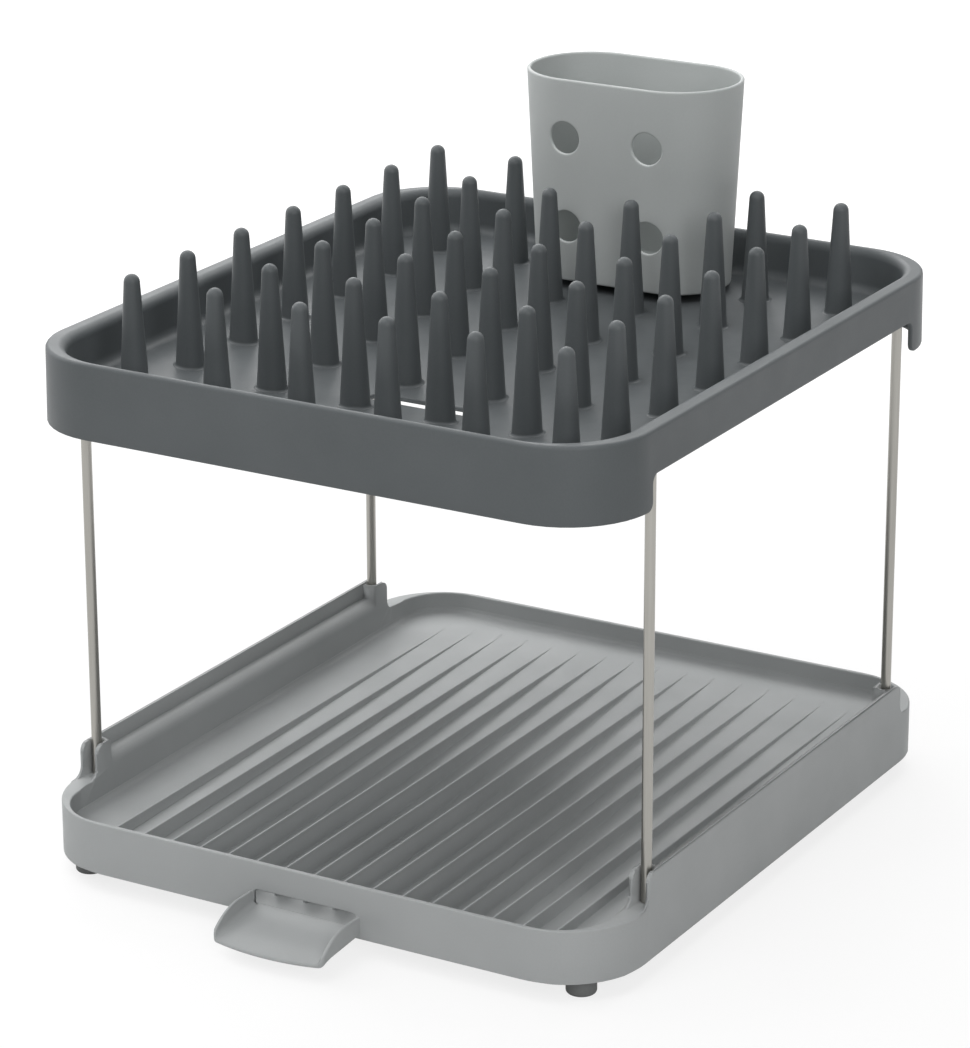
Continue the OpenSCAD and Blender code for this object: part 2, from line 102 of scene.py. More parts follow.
def surface_group(look: Texture) -> bpy.types.NodeTree:
    """Builds the shared surface texture: slow drift of tone, fine grain and faint rub marks.

    Args:
        look: its numbers.

    Returns:
        A shader node group with a tinted colour, a roughness and a height that vary over the surface.
    """
    group = bpy.data.node_groups.new("rack_surface", "ShaderNodeTree")
    face = group.interface
    for name, kind in (("Vector", "NodeSocketVector"), ("Dark", "NodeSocketColor"), ("Light", "NodeSocketColor"),
                       ("Grain Scale", "NodeSocketFloat"), ("Rough Low", "NodeSocketFloat"),
                       ("Rough High", "NodeSocketFloat")):
        face.new_socket(name=name, in_out="INPUT", socket_type=kind)
    for name, kind in (("Color", "NodeSocketColor"), ("Roughness", "NodeSocketFloat"),
                       ("Height", "NodeSocketFloat")):
        face.new_socket(name=name, in_out="OUTPUT", socket_type=kind)
    n = Nodes(group)
    entry, leave = n.add("NodeGroupInput"), n.add("NodeGroupOutput")
    drift = n.add("ShaderNodeTexNoise")
    drift.inputs["Scale"].default_value = look.drift_scale
    drift.inputs["Detail"].default_value = look.drift_detail
    n.link(entry.outputs["Vector"], drift.inputs["Vector"])
    fine = n.add("ShaderNodeTexNoise")
    fine.inputs["Detail"].default_value = look.fine_detail
    n.link(entry.outputs["Vector"], fine.inputs["Vector"])
    n.link(entry.outputs["Grain Scale"], fine.inputs["Scale"])
    tone = n.add("ShaderNodeMath", operation="MULTIPLY_ADD")
    tone.inputs[1].default_value = look.fine_share
    n.link(fine.outputs["Fac"], tone.inputs[0])
    n.link(drift.outputs["Fac"], tone.inputs[2])
    spread = n.add("ShaderNodeMapRange")
    spread.inputs["From Min"].default_value, spread.inputs["From Max"].default_value = look.tone_span
    n.link(tone.outputs["Value"], spread.inputs["Value"])
    tint = n.add("ShaderNodeMix", data_type="RGBA")
    n.link(spread.outputs["Result"], tint.inputs["Factor"])
    n.link(entry.outputs["Dark"], tint.inputs["A"])
    n.link(entry.outputs["Light"], tint.inputs["B"])
    n.link(tint.outputs["Result"], leave.inputs["Color"])
    rub = n.add("ShaderNodeTexNoise")
    rub.inputs["Scale"].default_value = look.rub_scale
    rub.inputs["Detail"].default_value = look.rub_detail
    rub.inputs["Distortion"].default_value = look.rub_twist
    n.link(entry.outputs["Vector"], rub.inputs["Vector"])
    gloss = n.add("ShaderNodeMapRange")
    gloss.inputs["From Min"].default_value, gloss.inputs["From Max"].default_value = look.rub_span
    n.link(rub.outputs["Fac"], gloss.inputs["Value"])
    n.link(entry.outputs["Rough Low"], gloss.inputs["To Min"])
    n.link(entry.outputs["Rough High"], gloss.inputs["To Max"])
    n.link(gloss.outputs["Result"], leave.inputs["Roughness"])
    n.link(fine.outputs["Fac"], leave.inputs["Height"])
    return group


@dataclass(frozen=True)
class Finish:
    """One finish of the rack.

    The tone is mixed between dark and light, the grain is noise of the given size, and the bump stands as high
    as bump says, in metres.
    """

    name: str
    dark: Colour
    light: Colour
    rough: Span
    grain_scale: float
    bump: float
    grain: Grain = Grain.MOULDED
    metallic: float = 0.0
    specular: float = 0.5

    def material(self, group: bpy.types.NodeTree) -> bpy.types.Material:
        """Builds the material.

        Args:
            group: the shared surface texture.

        Returns:
            A material with a Principled shader fed by the group.
        """
        mat = bpy.data.materials.new(self.name)
        mat.use_nodes = True
        mat.node_tree.nodes.clear()
        n = Nodes(mat.node_tree)
        place = n.add("ShaderNodeTexCoord")
        stretch = n.add("ShaderNodeMapping")
        stretch.inputs["Scale"].default_value = self.grain.value
        n.link(place.outputs["Object"], stretch.inputs["Vector"])
        skin = n.add("ShaderNodeGroup", node_tree=group)
        n.link(stretch.outputs["Vector"], skin.inputs["Vector"])
        skin.inputs["Dark"].default_value = (*self.dark, 1.0)
        skin.inputs["Light"].default_value = (*self.light, 1.0)
        skin.inputs["Grain Scale"].default_value = self.grain_scale
        skin.inputs["Rough Low"].default_value = self.rough[0]
        skin.inputs["Rough High"].default_value = self.rough[1]
        bump = n.add("ShaderNodeBump")
        bump.inputs["Strength"].default_value = 1.0
        bump.inputs["Distance"].default_value = self.bump
        n.link(skin.outputs["Height"], bump.inputs["Height"])
        shader = n.add("ShaderNodeBsdfPrincipled")
        shader.inputs["Metallic"].default_value = self.metallic
        shader.inputs["Specular IOR Level"].default_value = self.specular
        n.link(skin.outputs["Color"], shader.inputs["Base Color"])
        n.link(skin.outputs["Roughness"], shader.inputs["Roughness"])
        n.link(bump.outputs["Normal"], shader.inputs["Normal"])
        out = n.add("ShaderNodeOutputMaterial")
        n.link(shader.outputs["BSDF"], out.inputs["Surface"])
        return mat


BASE_PLASTIC = Finish("base_grey_plastic", (0.365, 0.378, 0.38), (0.415, 0.428, 0.43), (0.46, 0.60), 1400.0, 3.0e-5,
                      specular=0.2)
TRAY_PLASTIC = Finish("tray_dark_plastic", (0.088, 0.097, 0.101), (0.109, 0.119, 0.124), (0.40, 0.47), 1400.0, 3.0e-5,
                      specular=0.2)
CUP_PLASTIC = Finish("cup_grey_plastic", (0.445, 0.468, 0.463), (0.50, 0.522, 0.517), (0.46, 0.60), 1400.0, 3.0e-5,
                     specular=0.2)
LEG_STEEL = Finish("leg_satin_steel", (0.31, 0.302, 0.280), (0.43, 0.42, 0.39), (0.26, 0.40), 900.0, 6.0e-6,
                   Grain.DRAWN, 1.0)
FOOT_RUBBER = Finish("foot_grey_rubber", (0.135, 0.141, 0.14), (0.18, 0.187, 0.186), (0.66, 0.82), 1100.0, 3.0e-5)

MM = 0.001
TRAY_SHIFT = 16.9


def rounded_section(turns: Array, reach: float) -> tuple[Array, Array]:
    """Offsets along a quarter round of the given radius.

    Args:
        turns: angles in radians, 0 where the round starts and a quarter turn where it ends.
        reach: radius of the round.

    Returns:
        How far each point has come in from the first face, and from the second one.
    """
    return reach * (1.0 - np.cos(turns)), reach * (1.0 - np.sin(turns))


def quarter(count: int) -> Array:
    """Evenly spaced angles over a quarter turn."""
    return np.linspace(0.0, math.pi / 2.0, count)


@dataclass(frozen=True)
class Loop:
    """Path round a rounded rectangle, counter-clockwise from the middle of its right side.

    A point of a ring with half sizes a and b and corner radius r is C (a - r, b - r) + r n. C runs along each
    straight part from corner to corner, n is the outward normal, and both follow from the distance p along the path.
    """

    half_x: float
    half_y: float
    arc: float

    @property
    def quarter_length(self) -> float:
        """Distance from the middle of the right side to the middle of the back."""
        return self.half_y + self.arc + self.half_x

    def ring(self, p: Array, a: float, b: float, r: float) -> Array:
        """Plan points of a ring.

        Args:
            p: distances along the path.
            a: half width.
            b: half length.
            r: corner radius.

        Returns:
            X and Y of each point.
        """
        steps = [0.0, self.half_y, self.arc, 2 * self.half_x, self.arc, 2 * self.half_y, self.arc, 2 * self.half_x,
                 self.arc, self.half_y]
        knots = np.cumsum(steps)
        place = np.mod(p, knots[-1])
        cx = np.interp(place, knots, [1, 1, 1, -1, -1, -1, -1, 1, 1, 1])
        cy = np.interp(place, knots, [0, 1, 1, 1, 1, -1, -1, -1, -1, 0])
        turn = np.interp(place, knots, np.radians([0, 0, 90, 90, 180, 180, 270, 270, 360, 360]))
        return np.stack([cx * (a - r) + r * np.cos(turn), cy * (b - r) + r * np.sin(turn)], axis=-1)


@dataclass
class Grid:
    """Points of one or more surface grids, in millimetres about the trays' centre.

    The points are shaped (copies, rows, columns, 3).
    """

    points: Array
    close_rows: bool = False
    cap_first: bool = False
    cap_last: bool = False

    def faces(self) -> list[tuple[int, ...]]:
        """Quads between neighbouring points; columns always close on themselves.

        Returns:
            Vertex numbers of each face.
        """
        copies, rows, cols, _ = self.points.shape
        number = np.arange(copies * rows * cols).reshape(copies, rows, cols)
        over = np.roll(number, -1, axis=1) if self.close_rows else number[:, 1:]
        here = number if self.close_rows else number[:, :-1]
        quads = np.stack([here, np.roll(here, -1, axis=2), np.roll(over, -1, axis=2), over], axis=-1).reshape(-1, 4)
        caps = [tuple(row[::-1]) for row in number[:, 0].tolist()] if self.cap_first else []
        caps += [tuple(row) for row in number[:, -1].tolist()] if self.cap_last else []
        return [tuple(quad) for quad in quads.tolist()] + caps


def closed_mesh(points: Array, faces: Sequence[tuple[int, ...]]) -> bmesh.types.BMesh:
    """Turns points and faces into a closed mesh.

    Args:
        points: in millimetres about the trays' centre.
        faces: vertex numbers of each face.

    Returns:
        The mesh in the model's frame, with doubled points merged and normals outward.
    """
    mesh = bpy.data.meshes.new("draft")
    mesh.from_pydata(((points + np.array([0.0, TRAY_SHIFT, 0.0])) * MM).tolist(), [], faces)
    body = bmesh.new()
    body.from_mesh(mesh)
    bpy.data.meshes.remove(mesh)
    bmesh.ops.remove_doubles(body, verts=body.verts, dist=1.0e-6)
    bmesh.ops.dissolve_degenerate(body, edges=body.edges, dist=1.0e-6)
    bmesh.ops.recalc_face_normals(body, faces=body.faces)
    return body


@dataclass
class Piece:
    """A moulded piece that stands for CAD nodes and rides on their body."""

    name: str
    body: str
    nodes: tuple[str, ...]
    slot: str

    def grid(self) -> Grid:
        """Surface of the piece."""
        raise NotImplementedError

    def shape(self) -> bmesh.types.BMesh:
        """Closed mesh of the piece."""
        grid = self.grid()
        return closed_mesh(grid.points.reshape(-1, 3), grid.faces())

    def build(self, mat: bpy.types.Material) -> bpy.types.Object:
        """Makes the object.

        Args:
            mat: its material.

        Returns:
            The object, riding on its body.
        """
        body = self.shape()
        mesh = bpy.data.meshes.new(self.name)
        body.to_mesh(mesh)
        body.free()
        mesh.shade_smooth()
        mesh.materials.append(mat)
        obj = bpy.data.objects.new(self.name, mesh)
        bpy.context.scene.collection.objects.link(obj)
        even = obj.modifiers.new("even", "WEIGHTED_NORMAL")
        even.keep_sharp = True
        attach(obj, self.body)
        if self.nodes:
            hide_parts(*self.nodes)
        LOG.info("built %s with %d faces", self.name, len(mesh.polygons))
        return obj


@dataclass
class BaseShell(Piece):
    """Base tray: a copy of its CAD node with the long edges rounded; the leg sockets keep their small edges."""

    width: float = 0.7
    steps: int = 3
    limit: float = 35.0
    rail_x: float = 139.0
    socket_y: Span = (108.0, 137.0)
    socket_low: float = 12.0
    hollow_box: Point = (149.0, 170.5, 23.5)
    shoulder: Point = (140.0, 45.2, 6.5)
    shoulder_low: Span = (43.5, 5.4)
    ledge_end: float = 7.7
    hollow: Span = (43.0, 2.4)
    hollow_span: Span = (1.0, 8.5)
    close: float = 0.05

    def rounds(self, edge: bmesh.types.BMEdge) -> bool:
        """Tells whether an edge gets rounded: it is sharp, and clear of the leg sockets and of the hollow underside.

        Args:
            edge: an edge of the merged mesh.

        Returns:
            Whether it gets rounded.
        """
        if not edge.is_manifold or edge.calc_face_angle(0.0) < math.radians(self.limit):
            return False
        ends = np.array([v.co for v in edge.verts]) / MM - np.array([0.0, TRAY_SHIFT, 0.0])
        x, y, z = np.abs(ends[:, 0]), np.abs(ends[:, 1]), ends[:, 2]
        near = (x > self.rail_x) & (y > self.socket_y[0]) & (y < self.socket_y[1]) & (z > self.socket_low)
        inside = (x < self.hollow_box[0]) & (y < self.hollow_box[1]) & (z < self.hollow_box[2])
        return not near.any() and not inside.all()

    def lower_shoulders(self, mesh: bpy.types.Mesh) -> None:
        """Sets the rounded ledge inside each raised side a little lower and tighter, and the hollow under it as well.

        A point of the round goes to the same angle of the new round; a point of the flat part only goes down.

        Args:
            mesh: the merged mesh.
        """
        x0, top, r = self.shoulder
        low, tight = self.shoulder_low
        level, drop = self.hollow
        start, end = self.hollow_span
        kept = np.empty(3 * len(mesh.vertices), np.float32)
        mesh.vertices.foreach_get("co", kept)
        kept = kept.reshape(-1, 3).astype(float)
        co = kept / MM - np.array([0.0, TRAY_SHIFT, 0.0])
        x, z = np.abs(co[:, 0]) - x0, co[:, 2]
        on_arc = np.abs(np.hypot(x - r, z - top + r) - r) < self.close
        bend = (x > -0.5 * self.close) & (x < r) & on_arc & (z > top - r - self.close)
        flat = (x >= r) & (x < self.ledge_end) & (np.abs(z - top) < self.close)
        under = (np.abs(z - level) < self.close) & (x > start) & (x < end)
        new_x = np.where(bend, x0 + x * tight / r, x0 + x) * np.sign(co[:, 0])
        new_z = np.where(bend, low - (top - z) * tight / r, np.where(flat, low, np.where(under, z - drop, z)))
        moved = np.column_stack([new_x, co[:, 1] + TRAY_SHIFT, new_z]) * MM
        moved = np.where((bend | flat | under)[:, None], moved, kept)
        mesh.vertices.foreach_set("co", moved.astype(np.float32).ravel())
        LOG.info("lowered %d, %d and %d points of the shoulders", bend.sum(), flat.sum(), under.sum())

    def shape(self) -> bmesh.types.BMesh:
        """Merges the node's loose triangles, joins flat ones and rounds the chosen edges.

        Returns:
            The rounded mesh.
        """
        body = bmesh.new()
        body.from_mesh(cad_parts[self.nodes[0]].data)
        bmesh.ops.remove_doubles(body, verts=body.verts, dist=2.0e-6)
        bmesh.ops.dissolve_limit(body, angle_limit=math.radians(0.02), verts=body.verts, edges=body.edges)
        draft = bpy.data.meshes.new("draft")
        body.to_mesh(draft)
        self.lower_shoulders(draft)
        body.clear()
        body.from_mesh(draft)
        bpy.data.meshes.remove(draft)
        sharp = [edge for edge in body.edges if self.rounds(edge)]
        bmesh.ops.bevel(body, geom=sharp, offset=self.width * MM, offset_type="OFFSET", segments=self.steps,
                        profile=0.5, affect="EDGES", clamp_overlap=False)
        bmesh.ops.triangulate(body, faces=[face for face in body.faces if len(face.verts) > 4])
        return body


@dataclass
class UpperTray(Piece):
    """Upper tray without its pegs: skirt with side cut-outs, rolled rim, basin, funnel floor and drain slot."""

    a: float = 150.0
    b: float = 171.2
    r: float = 40.0
    low: float = 217.5
    cut: float = 232.8
    top: float = 252.8
    floor: float = 231.2
    cut_half: float = 128.5
    cut_r: float = 4.0
    skirt: float = 2.3
    draft: float = 0.4
    edge: float = 0.5
    rim_out: float = 1.8
    rim_in: float = 4.4
    rim_in_end: float = 3.0
    basin: Point = (140.0, 165.8, 36.0)
    fillet: float = 5.0
    border: Point = (126.0, 149.8, 30.0)
    slot_half: Point = (27.0, 4.5, 4.2)
    slot_y: float = -66.0
    dish: float = 8.7
    crease: float = 0.045
    sheet: float = 2.2
    bar_top: float = 248.6

    @property
    def loop(self) -> Loop:
        """Path round the tray's outline."""
        return Loop(self.a - self.r, self.b - self.r, self.r * math.pi / 2.0)

    def edge_path(self) -> tuple[Array, Array, Array, Array, Array]:
        """Lower edge of the skirt for a quarter of the tray, from the middle of a side to the middle of an end.

        Along the side the edge runs level at the cut-out's height, turns down through a round inner corner, falls,
        and turns into the skirt's lower edge through a round outer corner.

        Returns:
            Distance along the loop, height, both parts of the direction into the skirt, and the distance along the
            loop that the point's column has at the rim.
        """
        y, r = self.cut_half, self.cut_r
        flat = np.append(np.linspace(0.0, y - r - 12.0, 9), [y - r - 5.0, y - r - 1.5])
        down, up = quarter(7)[::-1], math.pi + quarter(7)
        fall = np.linspace(self.cut - r, self.low + r, 5)[1:-1]
        straight, first = self.loop.half_y, flat.size
        base = np.concatenate([[y + r + 1.5, y + r + 4.5, y + r + 9.0],
                               np.linspace(straight + 16.0, straight + self.loop.arc, 9),
                               straight + self.loop.arc + np.linspace(0.0, self.loop.half_x, 9)[1:]])
        p = np.concatenate([flat, y - r + r * np.cos(down), np.full(fall.size, y), y + r + r * np.cos(up), base])
        z = np.concatenate([np.full(first, self.cut), self.cut - r + r * np.sin(down), fall,
                            self.low + r + r * np.sin(up), np.full(base.size, self.low)])
        mp = np.concatenate([np.zeros(first), np.cos(down), np.ones(fall.size), -np.cos(up), np.zeros(base.size)])
        mz = np.concatenate([np.ones(first), np.sin(down), np.zeros(fall.size), -np.sin(up), np.ones(base.size)])
        run = np.append(0.0, np.cumsum(np.hypot(np.diff(p), np.diff(z))))
        turned = first + down.size - 1
        level = turned + fall.size + 1
        ended = level + up.size - 1
        beyond = ended + 3
        bends = [0.0, run[first], run[turned], run[level], run[ended], run[beyond], run[-1]]
        rim = np.interp(run, bends, [0.0, y - r, y + 0.5, y + 6.0, y + 9.5, p[beyond], p[-1]])
        return p, z, mp, mz, rim

    def whole(self, values: Array, flip: float = 1.0, path: bool = False) -> Array:
        """Repeats a quarter's values all round the loop.

        Args:
            values: one quarter, both end points included.
            flip: factor for the mirrored quarters.
            path: whether the values are distances along the loop.

        Returns:
            Values for the whole loop, each meeting point once.
        """
        turn = self.loop.quarter_length
        back = 2.0 * turn - values[::-1] if path else flip * values[::-1]
        half = np.concatenate([values[:-1], back[:-1]])
        return np.concatenate([half, half + 2.0 * turn if path else half])

    def funnel(self, t: float) -> tuple[float, float, float, float]:
        """Ring of the funnel.

        Args:
            t: fraction of the way from the border to the slot.

        Returns:
            Half width, half length, corner radius and middle in Y, each mixed between border and slot.
        """
        first, last = np.array([*self.border, 0.0]), np.array([*self.slot_half, self.slot_y])
        a, b, r, y = first + (last - first) * t
        return a, b, r, y

    def fall(self, t: Array) -> Array:
        """Depth of the funnel: even in t, with its upper crease softened to a parabola.

        Args:
            t: fractions of the way from the border to the slot.

        Returns:
            Depths below the border.
        """
        h = self.crease
        soft = (t + h) ** 2 / (4.0 * h)
        return self.dish * np.where(t < -h, 0.0, np.where(t > h, t, soft))

    def height(self, x: Array, y: Array) -> Array:
        """Height of the floor under points of the plan.

        The fraction t is halved down to, until the ring at t passes through the point.

        Args:
            x: X of the points.
            y: Y of the points.

        Returns:
            Z of the floor.
        """
        lo, hi = np.full(x.shape, -0.2), np.ones(x.shape)
        for _ in range(30):
            t = 0.5 * (lo + hi)
            first, last = (*self.border, 0.0), (*self.slot_half, self.slot_y)
            a, b, r, c = (f + (g - f) * t for f, g in zip(first, last))
            qx, qy = np.abs(x) - (a - r), np.abs(y - c) - (b - r)
            far = np.hypot(np.maximum(qx, 0.0), np.maximum(qy, 0.0)) + np.minimum(np.maximum(qx, qy), 0.0) - r
            lo, hi = np.where(far < 0.0, t, lo), np.where(far < 0.0, hi, t)
        return self.floor - self.fall(0.5 * (lo + hi))

    def grid(self) -> Grid:
        """Rows of rings from the lower edge up the skirt and over the rim, then down the basin and along the funnel.

        They go on through the slot, back under the floor, up into the side channels and down inside the skirt.

        Returns:
            The grid, which closes on itself.
        """
        loop = self.loop
        p, z, mp, mz, rim = self.edge_path()
        rim, p = self.whole(rim, path=True), self.whole(p, path=True)
        z, mp, mz = self.whole(z), self.whole(mp, -1.0), self.whole(mz)
        rows: list[Array] = []

        def row(place: Array, a: float, b: float, r: float, level: Array | float, y: float = 0.0) -> None:
            """Adds one ring of half sizes a and b and corner radius r, round a middle at y, at a level."""
            plan = loop.ring(place, a, b, r) + np.array([0.0, y])
            rows.append(np.column_stack([plan, np.broadcast_to(level, place.shape)]))

        def skirt_row(off: float, inset: float, w: float, level: Array | float) -> None:
            """Adds one row of the skirt.

            Args:
                off: distance from the skirt's edge.
                inset: distance from its outer face.
                w: how much of the way up to the level.
                level: the height at w = 1.
            """
            place = (p + mp * off) * (1.0 - w) + rim * w
            height = (z + mz * off) * (1.0 - w) + level * w
            lean = inset + self.draft * (height - self.low) / (self.top - self.low)
            plan = loop.ring(place, self.a, self.b, self.r)
            inner = loop.ring(place, self.a - 1.0, self.b - 1.0, self.r - 1.0)
            rows.append(np.column_stack([plan + (inner - plan) * lean[:, None], height]))

        e = self.edge
        for off, inset in ((0.0, 0.5 * self.skirt), (0.0, e), (0.3 * e, 0.3 * e)):
            skirt_row(off, inset, 0.0, 0.0)
        shoulder = self.top - self.rim_out
        for w in (0.0, 0.06, 0.25, 0.5, 0.75, 0.94, 1.0):
            skirt_row(e, 0.0, w, shoulder)
        a, b = self.a - self.draft, self.b - self.draft
        for inward, below in zip(*rounded_section(quarter(6), self.rim_out)):
            if inward > 0.0:
                row(rim, a - inward, b - inward, self.r - self.draft - inward, self.top - below)
        ba, bb, br = self.basin
        for below, out in zip(*rounded_section(quarter(9), 1.0)):
            row(rim, ba + self.rim_in * out, bb + self.rim_in_end * out, br + self.rim_in_end * out,
                self.top - self.rim_in * below)
        row(rim, ba, bb, br, 0.5 * (self.top + self.floor))
        for inward, above in zip(*rounded_section(quarter(7), self.fillet)):
            row(rim, ba - inward, bb - inward, br - inward, self.floor + above)
        for t in (*np.linspace(-self.crease, self.crease, 5), 0.15, 0.3, 0.45, 0.6, 0.75, 0.9, 0.97):
            fa, fb, fr, fy = self.funnel(t)
            row(rim, fa, fb, fr, self.floor - float(self.fall(np.array(t))), fy)
        sa, sb, sr = self.slot_half
        deep = self.floor - self.dish
        for out, level in ((0.7, deep + 0.05), (0.2, deep - 0.2), (0.0, deep - 0.7), (0.0, deep - self.sheet + 0.4),
                           (0.4, deep - self.sheet)):
            row(rim, sa + out, sb + out, sr + out, level, self.slot_y)
        for t in (0.9, 0.5, 0.1, 0.0):
            fa, fb, fr, fy = self.funnel(t)
            row(rim, fa, fb, fr, self.floor - self.dish * t - self.sheet, fy)
        under = self.floor - self.sheet
        far = np.abs(np.mod(rim + loop.quarter_length, 2.0 * loop.quarter_length) - loop.quarter_length)
        channel = np.where(far < self.cut_half + 1.0, self.bar_top, under)
        ca, cb, cr = ba + self.sheet, bb + self.sheet, br + self.sheet
        row(rim, ca, cb, cr, under)
        row(rim, ca, cb, cr, channel)
        row(rim, self.a - self.skirt, self.b - self.skirt, self.r - self.skirt, channel)
        for w in (0.8, 0.4, 0.0):
            skirt_row(e, self.skirt, w, channel)
        skirt_row(0.3 * e, self.skirt - 0.3 * e, 0.0, 0.0)
        skirt_row(0.0, self.skirt - e, 0.0, 0.0)
        return Grid(np.stack(rows)[None], close_rows=True)


@dataclass
class Pegs(Piece):
    """All plate pegs: tapered, with round tips and a small fillet where they meet the funnel-shaped floor."""

    tray: UpperTray = field(default_factory=lambda: UPPER_TRAY)
    cols: int = 6
    rows: int = 7
    pitch: float = 44.0
    high: float = 52.7
    radius: float = 6.6
    tip: float = 3.65
    fillet: float = 1.3
    root: float = 0.6
    around: int = 32

    def grid(self) -> Grid:
        """Rings up each peg: a quarter-round fillet out of the floor, the taper, then half a ball.

        Returns:
            One grid per peg.
        """
        x0, y0 = np.meshgrid((np.arange(self.cols) - (self.cols - 1) / 2.0) * self.pitch,
                             (np.arange(self.rows) - (self.rows - 1) / 2.0) * self.pitch)
        x0, y0 = x0.reshape(-1, 1, 1), y0.reshape(-1, 1, 1)
        turn = np.linspace(0.0, 2.0 * math.pi, self.around, endpoint=False).reshape(1, 1, -1)
        taper = (self.radius - self.tip) / (self.high - self.tip)
        ball = self.tray.floor + self.high - self.tip
        foot = self.tray.height(x0 + self.radius * np.cos(turn), y0 + self.radius * np.sin(turn))
        above, out = (v.reshape(1, -1, 1) for v in rounded_section(quarter(5), self.fillet))
        reach = self.radius + out + taper * self.tray.dish * 0.5
        near = self.tray.height(x0 + reach * np.cos(turn), y0 + reach * np.sin(turn)) + above
        sunk = near[:, :1] - self.root
        start = foot + self.fillet
        share = np.linspace(0.0, 1.0, 9)[1:].reshape(1, -1, 1)
        body = start + (ball - start) * share
        level = np.concatenate([sunk, near, body], axis=1)
        lift = np.concatenate([out[:, :1], out, np.zeros((1, body.shape[1], 1))], axis=1)
        radius = self.radius - taper * (level - self.tray.floor) + lift
        dome = quarter(7)[1:].reshape(1, -1, 1)
        cap_r = np.broadcast_to(self.tip * np.cos(dome), (x0.shape[0], dome.shape[1], self.around))
        cap_z = np.broadcast_to(ball + self.tip * np.sin(dome), cap_r.shape)
        radius, level = np.concatenate([radius, cap_r], axis=1), np.concatenate([level, cap_z], axis=1)
        points = np.stack([x0 + radius * np.cos(turn), y0 + radius * np.sin(turn), level], axis=-1)
        return Grid(points, cap_first=True)


